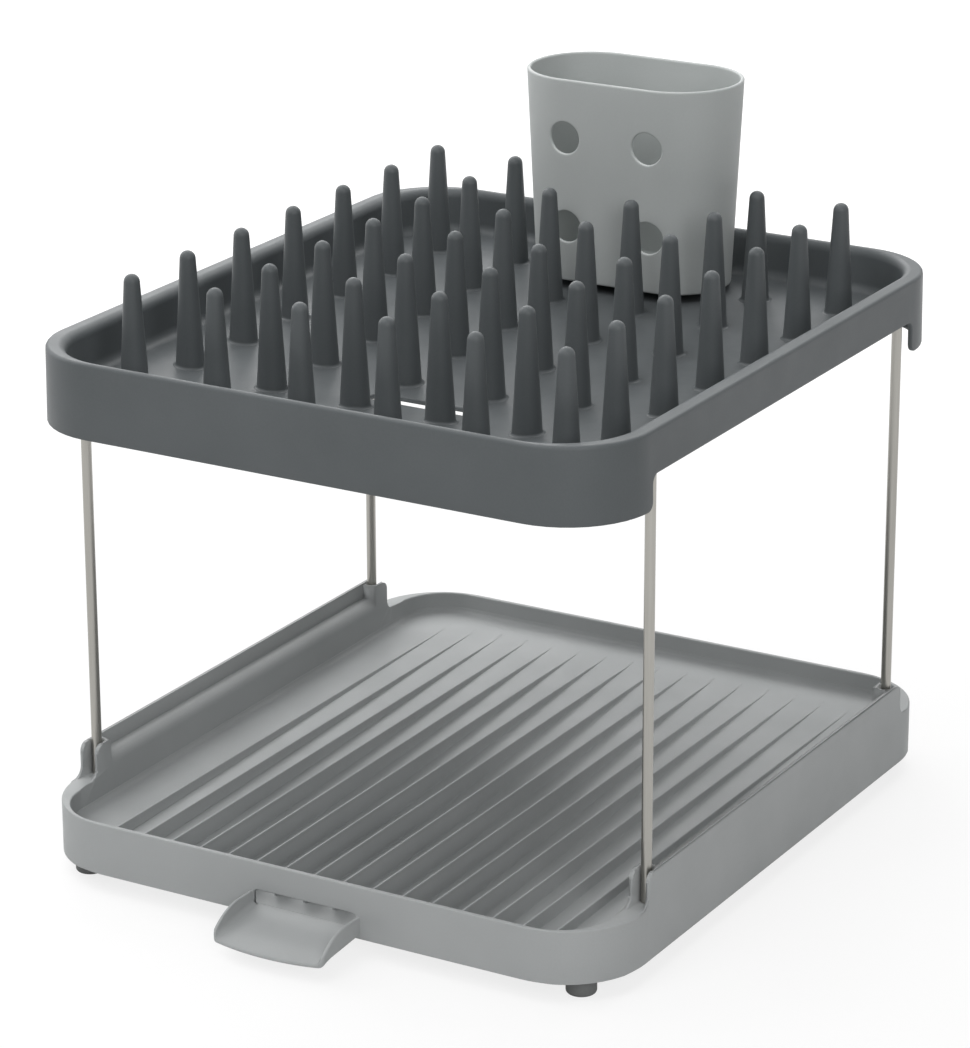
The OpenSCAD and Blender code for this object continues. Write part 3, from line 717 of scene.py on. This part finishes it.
@dataclass
class Cup(Piece):
    """Cutlery cup: drafted oval wall with a rolled rim, four round holes with soft edges and two seats in its base."""

    y: float = 132.0
    z: float = 233.7
    high: float = 100.2
    half_x: float = 23.5
    half_y: float = 0.4
    radius: float = 31.0
    draft: float = 4.8
    wall: float = 2.0
    base: float = 2.4
    fillet: float = 3.0
    hole_x: float = 22.0
    hole_z: Span = (27.4, 71.4)
    hole_r: float = 7.9
    hole_edge: float = 0.7
    cell_q: Span = (10.4, 34.4)
    cell_z: float = 12.0
    cell_steps: int = 8
    seat_x: float = 22.0
    seat_r: float = 6.75

    @property
    def loop(self) -> Loop:
        """Path round the cup's rim."""
        return Loop(self.half_x, self.half_y, self.radius * math.pi / 2.0)

    def at(self, p: Array, z: Array, inset: Array) -> Array:
        """Points of the wall.

        Args:
            p: distances along the loop.
            z: heights above the cup's base.
            inset: depths below the outer face.

        Returns:
            X, Y and Z; the corner radius shrinks with the draft and with the inset.
        """
        r = self.radius - self.draft * (1.0 - z / self.high) - inset
        plan = self.loop.ring(p, self.half_x, self.half_y, 0.0)
        away = self.loop.ring(p, self.half_x + 1.0, self.half_y + 1.0, 1.0) - plan
        points = plan + away * r[..., None]
        return np.concatenate([points + np.array([0.0, self.y]), (z + self.z)[..., None]], axis=-1)

    def columns(self) -> tuple[Array, Array]:
        """Columns of the wall's grid.

        Returns:
            Distances along the loop all round, and the same as distances from the middle of the nearer long face.
        """
        cell = np.linspace(*self.cell_q, self.cell_steps + 1)
        turn = self.loop.quarter_length
        end = np.linspace(self.cell_q[1], turn, 13)[1:]
        half = np.concatenate([np.linspace(0.0, cell[0], 4)[:-1], cell, end])
        right = 3.0 * turn + half
        back = 5.0 * turn - half[::-1]
        first = np.concatenate([right, back[1:-1]])
        return np.concatenate([first, first + 2.0 * turn]), half

    def wall_levels(self) -> Array:
        """Heights of the wall's rows between the base's edge and the rim."""
        cells = [np.linspace(h - self.cell_z, h + self.cell_z, self.cell_steps + 1) for h in self.hole_z]
        return np.concatenate([[1.0, 5.0, 10.0], cells[0], [44.4, 49.4, 54.4], cells[1], [88.0, 93.0, 97.0]])

    def wall_grid(self) -> tuple[Array, list[tuple[int, ...]]]:
        """Wall from the underside's edge up outside, over the rim and down inside to the floor, without the hole cells.

        Returns:
            Points shaped (rows, columns, 3), and the faces.
        """
        p, _ = self.columns()
        level = self.wall_levels()
        turn = np.linspace(0.0, math.pi, 9)
        bead = 0.5 * self.wall
        fall, rise = rounded_section(quarter(5), self.fillet)
        z = np.concatenate([[0.0, 0.3], level, self.high - bead + bead * np.sin(turn), level[::-1][:-2],
                            self.base + rise])
        inset = np.concatenate([[1.0, 0.3], np.zeros(level.size), bead - bead * np.cos(turn),
                                np.full(level.size - 2, self.wall), self.wall + fall])
        points = self.at(np.broadcast_to(p, (z.size, p.size)), np.repeat(z[:, None], p.size, 1),
                         np.repeat(inset[:, None], p.size, 1))
        number = np.arange(z.size * p.size).reshape(z.size, p.size)
        mid_p = p + 0.5 * np.mod(np.roll(p, -1) - p, 4.0 * self.loop.quarter_length)
        turn_len = self.loop.quarter_length
        q = np.abs(np.mod(mid_p, 2.0 * turn_len) - turn_len)
        mid_z = 0.5 * (z[1:] + z[:-1])
        flat = np.isin(np.round(inset[1:], 6), (0.0, round(self.wall, 6))) & (np.abs(np.diff(inset)) < 1.0e-9)
        in_cell = (q > self.cell_q[0]) & (q < self.cell_q[1])
        in_row = flat & np.any([np.abs(mid_z - h) < self.cell_z for h in self.hole_z], axis=0)
        keep = ~(in_row[:, None] & in_cell[None, :])
        over, here = number[1:], number[:-1]
        quads = np.stack([here, np.roll(here, -1, axis=1), np.roll(over, -1, axis=1), over], axis=-1)[keep]
        return points, [tuple(quad) for quad in quads.tolist()]

    def hole_grid(self, side: float, face: float, height: float) -> Array:
        """One hole cell: from the square outside to the round edge, through the wall and out to the square inside.

        Args:
            side: -1 for the left hole, 1 for the right one.
            face: -1 for the front, 1 for the back.
            height: of the hole's middle.

        Returns:
            Points shaped (rows, columns, 3).
        """
        n = self.cell_steps
        steps = np.linspace(0.0, 1.0, n + 1)[:-1]
        u = np.concatenate([steps, np.ones(n), 1.0 - steps, np.zeros(n)])
        v = np.concatenate([np.zeros(n), steps, np.ones(n), 1.0 - steps])
        q_box = self.cell_q[0] + u * (self.cell_q[1] - self.cell_q[0])
        z_box = height - self.cell_z + v * 2.0 * self.cell_z
        turn = np.radians(225.0) + np.arange(4 * n) * (2.0 * math.pi / (4 * n))
        e = self.hole_edge
        into, wide = rounded_section(quarter(4), e)
        inset = np.concatenate([into, self.wall - into[::-1]])
        reach = self.hole_r + np.concatenate([wide, wide[::-1]])
        x = self.hole_x + reach[:, None] * np.cos(turn)
        z = height + reach[:, None] * np.sin(turn)
        r = self.radius - self.draft * (1.0 - z / self.high) - inset[:, None]
        bend = np.arcsin(np.maximum(x - self.half_x, 0.0) / r)
        q = np.minimum(x, self.half_x) + self.radius * bend
        blend = np.array([0.0, 0.4, 0.75])[:, None]
        first_q, first_z = q_box + (q[:1] - q_box) * blend, z_box + (z[:1] - z_box) * blend
        last_q, last_z = (q_box + (q[-1:] - q_box) * blend)[::-1], (z_box + (z[-1:] - z_box) * blend)[::-1]
        q, z = np.concatenate([first_q, q, last_q]), np.concatenate([first_z, z, last_z])
        inset = np.concatenate([np.zeros(3), inset, np.full(3, self.wall)])
        turn_len = self.loop.quarter_length
        p = (3.0 * turn_len + side * q) if face < 0.0 else (turn_len - side * q)
        return self.at(p, z, np.repeat(inset[:, None], p.shape[1], 1))

    def seat_grid(self, side: float) -> Array:
        """Half of the base with its seat: from the floor's edge to the seat, through it and out along the underside.

        Args:
            side: -1 for the left half, 1 for the right one.

        Returns:
            Points shaped (rows, columns, 3).
        """
        _, half = self.columns()
        turn = self.loop.quarter_length
        p = 3.0 * turn + side * np.concatenate([half, 2.0 * turn - half[::-1][1:]])
        rims = []
        for z, inset in ((self.base, self.wall + self.fillet), (0.0, 1.0)):
            arc = self.at(p, np.full(p.size, z), np.full(p.size, inset))
            middle = np.linspace(arc[-1], arc[0], 12)[1:-1]
            rims.append(np.concatenate([arc, middle]))
        centre = np.array([side * self.seat_x, self.y])
        turns = np.arctan2(rims[0][:, 1] - centre[1], rims[0][:, 0] - centre[0])
        ray = np.column_stack([np.cos(turns), np.sin(turns)])
        rows = [rims[0]]
        for reach, z in ((0.5, self.base), (0.15, self.base - 0.15), (0.0, self.base - 0.5), (0.0, 0.5), (0.15, 0.15),
                         (0.5, 0.0)):
            ring = centre + ray * (self.seat_r + reach)
            rows.append(np.column_stack([ring, np.full(p.size + 10, self.z + z)]))
        return np.stack(rows + [rims[1]])

    def shape(self) -> bmesh.types.BMesh:
        """Joins the wall, the hole cells and both halves of the base into one closed mesh.

        Returns:
            The mesh, normals outward.
        """
        wall, faces = self.wall_grid()
        parts, total = [wall.reshape(-1, 3)], wall.shape[0] * wall.shape[1]
        cells = [self.hole_grid(s, f, h) for s in (-1.0, 1.0) for f in (-1.0, 1.0) for h in self.hole_z]
        for points in [*cells, self.seat_grid(-1.0), self.seat_grid(1.0)]:
            faces += [tuple(k + total for k in quad) for quad in Grid(points[None]).faces()]
            parts.append(points.reshape(-1, 3))
            total += points.shape[0] * points.shape[1]
        return closed_mesh(np.concatenate(parts), faces)


@dataclass
class BaseFloor(Piece):
    """Skin of the base floor: a smooth dish that falls to the drain window, with a small round up into the walls."""

    half: Point = (140.0, 168.8, 26.0)
    level: float = 24.28
    deepest: float = 10.5
    fall: float = 0.048
    back: float = 153.0
    ramp: float = 8.0
    side: float = 0.87
    power: float = 1.8
    blend: float = 0.8
    fillet: float = 2.5
    window: Span = (40.0, 55.0)
    sheet: float = 0.6

    def height(self, x: Array, y: Array) -> Array:
        """Height of the dish.

        The depth grows evenly from the back, after a parabola at its start. It is multiplied by one less a power of
        the distance from the middle, and a soft minimum holds it at the sill's depth.

        Args:
            x: X of the points.
            y: Y of the points.

        Returns:
            Z of the skin.
        """
        run = np.maximum(self.back - y, 0.0)
        run = np.where(run < self.ramp, run ** 2 / (2.0 * self.ramp), run - 0.5 * self.ramp)
        deep = self.fall * run * (1.0 - self.side * np.minimum(np.abs(x) / self.half[0], 1.0) ** self.power)
        return self.level - self.deepest + self.blend * np.logaddexp(0.0, (self.deepest - deep) / self.blend)

    def grid(self) -> Grid:
        """Rings from the middle of the underside out to the walls, up them, and along the dish back to the middle.

        Returns:
            The grid, with both middles capped.
        """
        a, b, r = self.half
        loop = Loop(a - r, b - r, r * math.pi / 2.0)
        turn = loop.quarter_length
        part = np.concatenate([np.linspace(0.0, loop.half_y, 36), loop.half_y + np.linspace(0.0, loop.arc, 15)[1:],
                               loop.half_y + loop.arc + np.linspace(0.0, loop.half_x, 30)[1:]])
        half = np.concatenate([part[:-1], 2.0 * turn - part[::-1][:-1]])
        p = np.concatenate([half, half + 2.0 * turn])
        edge = loop.ring(p, a, b, r)
        inward = loop.ring(p, a - 1.0, b - 1.0, r - 1.0) - edge
        first, last = self.window
        open_part = np.clip((np.abs(edge[:, 0]) - first) / (last - first), 0.02, 1.0)
        reach = self.fillet * np.where(edge[:, 1] < 1.0 - b, open_part, 1.0)
        inner = edge + inward * reach[:, None]

        def ring(plan: Array, above: Array | float) -> Array:
            """One ring of the grid, lifted above the dish."""
            return np.column_stack([plan, self.height(plan[:, 0], plan[:, 1]) + above])

        outer = edge - inward * self.sheet
        rows = [ring(inner * scale, -self.sheet) for scale in np.linspace(0.01, 1.0, 16)]
        rows += [ring(outer, -self.sheet), ring(outer, reach)]
        rows += [ring(edge + inward * (reach * t ** 2)[:, None], reach * (1.0 - t) ** 2)
                 for t in np.linspace(0.0, 1.0, 9)]
        rows += [ring(inner * scale, 0.0) for scale in np.linspace(1.0, 0.01, 50)[1:]]
        return Grid(np.stack(rows)[None], cap_first=True, cap_last=True)


@dataclass
class Ribs(Piece):
    """Draining ribs: thin, with round level tops, a small flare at the foot and rounded front ends."""

    dish: BaseFloor = field(default_factory=lambda: BASE_FLOOR)
    count: int = 16
    pitch: float = 15.33
    thick: float = 1.3
    top: float = 24.2
    front: float = -158.8
    back: float = 150.0
    nose: float = 3.0
    step: float = 4.0
    flare: float = 0.7
    root: float = 0.4

    def rib(self, x: float) -> Array:
        """Sections of one rib from front to back: up one side, round the top, down the other side.

        The crest stands on the dish by a quarter ellipse over the nose, and is level behind it.

        Args:
            x: its place across the tray.

        Returns:
            Points shaped (sections, points across, 3).
        """
        h, flare = 0.5 * self.thick, self.flare
        turn = np.linspace(0.0, math.pi, 9)[1:-1]
        foot = np.array([h + flare, h + 0.3 * flare, h])
        across = np.concatenate([-foot, -h * np.cos(turn), foot[::-1]])
        y = np.concatenate([self.front + self.nose * (1.0 - np.cos(quarter(6))),
                            np.linspace(self.front + self.nose + self.step, self.back, 60)])
        floor = self.dish.height(np.full(y.shape, x), y)
        rise = np.clip((y - self.front) / self.nose, 0.0, 1.0)
        crest = floor + (self.top - floor) * np.sqrt(np.maximum(1.0 - (1.0 - rise) ** 2, 0.0))
        room = np.maximum(crest - floor, 0.0)[:, None]
        low = np.minimum(np.array([-self.root, 0.3 * flare, flare]), room + np.array([-self.root, -0.05, 0.0]))
        z = np.empty((y.size, across.size))
        z[:, :3] = floor[:, None] + low
        z[:, -3:] = z[:, 2::-1]
        shoulder = np.maximum(crest[:, None] - h, z[:, 2:3])
        z[:, 3:-3] = np.minimum(shoulder + h * np.sin(turn), np.maximum(crest[:, None], z[:, 2:3]))
        return np.stack([np.broadcast_to(x + across, z.shape), np.repeat(y[:, None], across.size, 1), z], axis=-1)

    def grid(self) -> Grid:
        """All ribs, evenly spaced about the middle.

        Returns:
            One grid per rib.
        """
        places = (np.arange(self.count) - (self.count - 1) / 2.0) * self.pitch
        return Grid(np.stack([self.rib(x) for x in places]), cap_first=True, cap_last=True)


@dataclass
class Spout(Piece):
    """Pouring chute: falling floor with filleted side walls that sink into a rounded lip."""

    half: float = 28.8
    start: float = -170.0
    wall_y: float = -171.2
    lip: float = -205.0
    sill: float = 13.7
    wall: float = 1.6
    high: float = 6.5
    fall_r: float = 29.0
    fall_l: float = 24.0
    lip_l: float = 9.0
    drops: Span = (2.6, 5.6)
    thick: Span = (2.8, 1.4)
    bow: float = 264.0
    corner: float = 2.5
    fillet: float = 2.4
    soft: float = 3.0
    crown: float = 0.8
    under_r: float = 1.2
    nose: float = 0.6

    def floor(self, y: Array) -> Array:
        """Height of the chute's floor: straight falls, averaged over a short way to round the bend before the lip.

        Args:
            y: Y of the points.

        Returns:
            Z of the floor.
        """
        soft = np.linspace(-self.soft, self.soft, 7)[:, None]
        knots = [self.lip, self.lip + self.lip_l, self.wall_y, self.start + 5.0]
        level = [self.sill - self.drops[1], self.sill - self.drops[0], self.sill, self.sill]
        return np.mean(np.interp(y.ravel() + soft, knots, level), axis=0).reshape(y.shape)

    def crest(self, y: Array) -> Array:
        """Height of the side walls' tops: level, then a round fall to the lip."""
        run = np.clip(self.lip + self.fall_l - y, 0.0, self.fall_l)
        return self.sill + self.high - self.fall_r + np.sqrt(self.fall_r ** 2 - run ** 2)

    def edge(self, x: Array) -> Array:
        """Y of the lip's front edge: bowed, with round corners."""
        over = np.clip(np.abs(x) - (self.half - self.corner), 0.0, self.corner)
        return self.lip + x ** 2 / self.bow + self.corner - np.sqrt(self.corner ** 2 - over ** 2)

    def grid(self) -> Grid:
        """Sections from the tray to the lip.

        Each runs across the upper face and back along the underside, and the last ones close round the lip's edge.

        Returns:
            The grid.
        """
        inner = self.half - self.wall
        wall_x = self.wall * np.array([0.0, 0.0375, 0.15625, 0.3125, 0.5, 0.6875, 0.84375, 0.9625, 1.0])
        fillet_x = self.fillet * (1.0 - np.cos(quarter(7)))[1:]
        side = np.concatenate([self.half - wall_x, inner - 0.1 - fillet_x])
        x = np.concatenate([-side, np.linspace(-side[-1], side[-1], 17)[1:-1], side[::-1]])
        v = np.concatenate([np.linspace(0.0, 0.9, 28), [0.93, 0.955, 0.975, 0.99, 1.0]])
        y = self.start + v[:, None] * (self.edge(x) - self.start)[None, :]
        floor, crest = self.floor(y), self.crest(y)
        depth = np.abs(x)[None, :]
        tall = np.maximum(crest - floor, 0.0)
        reach = np.clip(depth - (inner - 0.1 - self.fillet), 0.0, self.fillet)
        lift = self.fillet - np.sqrt(self.fillet ** 2 - reach ** 2)
        ridge = np.clip((depth - inner) / self.wall, 0.0, 1.0)
        crown = np.sqrt(np.maximum(1.0 - (2.0 * ridge - 1.0) ** 2, 0.0))
        ridge_top = np.maximum(floor + tall - self.crown * (1.0 - crown), floor)
        top = np.where(depth > inner + 1.0e-6, ridge_top, floor + np.minimum(lift, tall))
        share = np.clip((self.wall_y - y) / (self.wall_y - self.lip), 0.0, 1.0)
        sheet = self.thick[0] + (self.thick[1] - self.thick[0]) * share
        turned = np.clip(depth - (self.half - self.under_r), 0.0, self.under_r)
        low = floor - sheet + self.under_r - np.sqrt(self.under_r ** 2 - turned ** 2)
        bend = np.linspace(0.0, math.pi / 2.0, 6)[1:, None]
        half_t = 0.5 * (top[-1] - low[-1])
        nose_top = 0.5 * (top[-1] + low[-1]) + half_t * np.cos(bend)
        nose_low = 0.5 * (top[-1] + low[-1]) - half_t * np.cos(bend)
        nose_y = y[-1] - self.nose * np.sin(bend) + self.nose
        y = np.concatenate([y[:-1], nose_y])
        top, low = np.concatenate([top[:-1], nose_top]), np.concatenate([low[:-1], nose_low])
        upper = np.stack([np.broadcast_to(x, y.shape), y, top], axis=-1)
        under = np.stack([np.broadcast_to(x, y.shape), y, low], axis=-1)[:, ::-1]
        return Grid(np.concatenate([upper, under], axis=1)[None], cap_first=True)


UPPER_TRAY = UpperTray("upper_tray", "tier", ("peg_tray",), "tray_plastic")
BASE_FLOOR = BaseFloor("base_floor", "base", (), "base_plastic")


@dataclass(frozen=True)
class Lamp:
    """One square soft light: its place, its width in metres and its power in watts."""

    name: str
    place: Point
    size: float
    power: float


LAMPS = (Lamp("lamp_top", (0.0, 0.0, 2.2), 2.0, 14.5),
         Lamp("lamp_front", (-0.35, -1.35, 2.0), 1.4, 15.5),
         Lamp("lamp_right", (1.6, -1.6, 1.2), 1.2, 20.5),
         Lamp("lamp_left", (-2.2, 0.0, 0.8), 1.4, 9.0),
         Lamp("lamp_left_high", (-1.5, 0.0, 1.8), 1.4, 16.5),
         Lamp("lamp_back", (0.0, 1.6, 1.8), 1.4, 16.0),
         Lamp("lamp_back_left", (-1.4, 1.5, 1.5), 1.2, 18.0))


@dataclass
class Studio:
    """Camera, soft lights, white floor and surrounding white."""

    camera_place: Point = (0.923660, -1.578597, 0.798170)
    camera_view: Point = (-0.46904, 0.81877, -0.33109)
    lens: float = 144.2
    sensor: float = 36.0
    shift: Span = (-0.0289, -0.0111)
    clip: Span = (0.05, 50.0)
    floor_half: float = 4.0
    floor_tone: float = 0.80
    floor_shade: float = 0.20
    floor_glow: Span = (0.80, 1.0)
    glow_reach: Span = (0.35, 1.2)
    sky: float = 0.08
    aim: Point = (0.0, 0.0, 0.17)

    def camera(self) -> None:
        """Places the camera as the photograph was taken."""
        data = bpy.data.cameras.new("camera")
        data.lens = self.lens
        data.sensor_fit = "VERTICAL"
        data.sensor_height = self.sensor
        data.shift_x, data.shift_y = self.shift
        data.clip_start, data.clip_end = self.clip
        eye = bpy.data.objects.new("camera", data)
        eye.location = self.camera_place
        eye.rotation_euler = Vector(self.camera_view).to_track_quat("-Z", "Y").to_euler()
        bpy.context.scene.collection.objects.link(eye)
        bpy.context.scene.camera = eye

    def seen(self, n: Nodes) -> bpy.types.NodeSocket:
        """Adds a mask that is 1 for rays from the camera and for mirrored or passed-on ones.

        Args:
            n: nodes of the floor's or the world's tree.

        Returns:
            The mask's output.
        """
        path = n.add("ShaderNodeLightPath")
        first = n.add("ShaderNodeMath", operation="MAXIMUM")
        n.link(path.outputs["Is Camera Ray"], first.inputs[0])
        n.link(path.outputs["Is Glossy Ray"], first.inputs[1])
        both = n.add("ShaderNodeMath", operation="MAXIMUM")
        n.link(first.outputs["Value"], both.inputs[0])
        n.link(path.outputs["Is Transmission Ray"], both.inputs[1])
        return both.outputs["Value"]

    def world(self) -> None:
        """Even light from all around, shown as plain white."""
        world = bpy.data.worlds.new("studio")
        world.use_nodes = True
        world.node_tree.nodes.clear()
        n = Nodes(world.node_tree)
        dim, white = n.add("ShaderNodeBackground"), n.add("ShaderNodeBackground")
        dim.inputs["Strength"].default_value = self.sky
        mix, out = n.add("ShaderNodeMixShader"), n.add("ShaderNodeOutputWorld")
        for back in (dim, white):
            back.inputs["Color"].default_value = (1.0, 1.0, 1.0, 1.0)
        n.link(self.seen(n), mix.inputs["Fac"])
        n.link(dim.outputs["Background"], mix.inputs[1])
        n.link(white.outputs["Background"], mix.inputs[2])
        n.link(mix.outputs["Shader"], out.inputs["Surface"])
        bpy.context.scene.world = world

    def floor(self) -> None:
        """White floor under the feet that keeps the rack's soft shadow; its glow rises to full white further out."""
        h = self.floor_half
        mesh = bpy.data.meshes.new("floor")
        mesh.from_pydata([(-h, -h, 0.0), (h, -h, 0.0), (h, h, 0.0), (-h, h, 0.0)], [], [(0, 1, 2, 3)])
        obj = bpy.data.objects.new("floor", mesh)
        bpy.context.scene.collection.objects.link(obj)
        mat = bpy.data.materials.new("floor_white")
        mat.use_nodes = True
        mat.node_tree.nodes.clear()
        n = Nodes(mat.node_tree)
        matt, pale = n.add("ShaderNodeBsdfDiffuse"), n.add("ShaderNodeBsdfDiffuse")
        matt.inputs["Color"].default_value = (self.floor_tone,) * 3 + (1.0,)
        pale.inputs["Color"].default_value = (self.floor_shade,) * 3 + (1.0,)
        glow, lit = n.add("ShaderNodeEmission"), n.add("ShaderNodeAddShader")
        place = n.add("ShaderNodeTexCoord")
        away = n.add("ShaderNodeVectorMath", operation="LENGTH")
        rise = n.add("ShaderNodeMapRange", interpolation_type="SMOOTHSTEP")
        n.link(place.outputs["Object"], away.inputs[0])
        n.link(away.outputs["Value"], rise.inputs["Value"])
        rise.inputs["From Min"].default_value, rise.inputs["From Max"].default_value = self.glow_reach
        rise.inputs["To Min"].default_value, rise.inputs["To Max"].default_value = self.floor_glow
        n.link(rise.outputs["Result"], glow.inputs["Strength"])
        n.link(pale.outputs["BSDF"], lit.inputs[0])
        n.link(glow.outputs["Emission"], lit.inputs[1])
        mix, out = n.add("ShaderNodeMixShader"), n.add("ShaderNodeOutputMaterial")
        n.link(self.seen(n), mix.inputs["Fac"])
        n.link(matt.outputs["BSDF"], mix.inputs[1])
        n.link(lit.outputs["Shader"], mix.inputs[2])
        n.link(mix.outputs["Shader"], out.inputs["Surface"])
        mesh.materials.append(mat)

    def light(self, lamp: Lamp) -> None:
        """Adds one lamp, turned to the middle of the rack.

        Args:
            lamp: the lamp.
        """
        data = bpy.data.lights.new(lamp.name, "AREA")
        data.size = lamp.size
        data.energy = lamp.power
        obj = bpy.data.objects.new(lamp.name, data)
        obj.location = lamp.place
        obj.rotation_euler = (Vector(self.aim) - Vector(lamp.place)).to_track_quat("-Z", "Y").to_euler()
        bpy.context.scene.collection.objects.link(obj)

    def build(self) -> None:
        """Sets up everything round the rack."""
        bpy.context.scene.view_settings.view_transform = "Standard"
        self.camera()
        self.world()
        self.floor()
        for lamp in LAMPS:
            self.light(lamp)


def dress(names: Sequence[str], mat: bpy.types.Material) -> None:
    """Gives CAD nodes their finish.

    Args:
        names: the nodes.
        mat: the material for all of their slots.
    """
    for name in names:
        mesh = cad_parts[name].data
        if not mesh.materials:
            mesh.materials.append(mat)
        for k in range(len(mesh.materials)):
            mesh.materials[k] = mat
        LOG.info("dressed %s", name)


def main() -> None:
    """Builds the studio and the rack."""
    logging.basicConfig(level=logging.INFO, format="%(name)s: %(message)s")
    Studio().build()
    group = surface_group(Texture())
    base, tray = BASE_PLASTIC.material(group), TRAY_PLASTIC.material(group)
    cup = CUP_PLASTIC.material(group)
    BaseShell("base_shell", "base", ("base_tray",), "base_plastic").build(base)
    BASE_FLOOR.build(base)
    UPPER_TRAY.build(tray)
    Pegs("pegs", "tier", ("plate_pegs",), "tray_plastic").build(tray)
    Cup("cup", "cup", ("cutlery_cup",), "cup_plastic").build(cup)
    Ribs("ribs", "base", ("drain_ribs",), "base_plastic").build(base)
    Spout("spout", "base", ("pour_spout",), "base_plastic").build(base)
    dress(("left_leg", "right_leg"), LEG_STEEL.material(group))
    dress(("foot_fl", "foot_fr", "foot_bl", "foot_br"), FOOT_RUBBER.material(group))


if __name__ == "__main__":
    main()
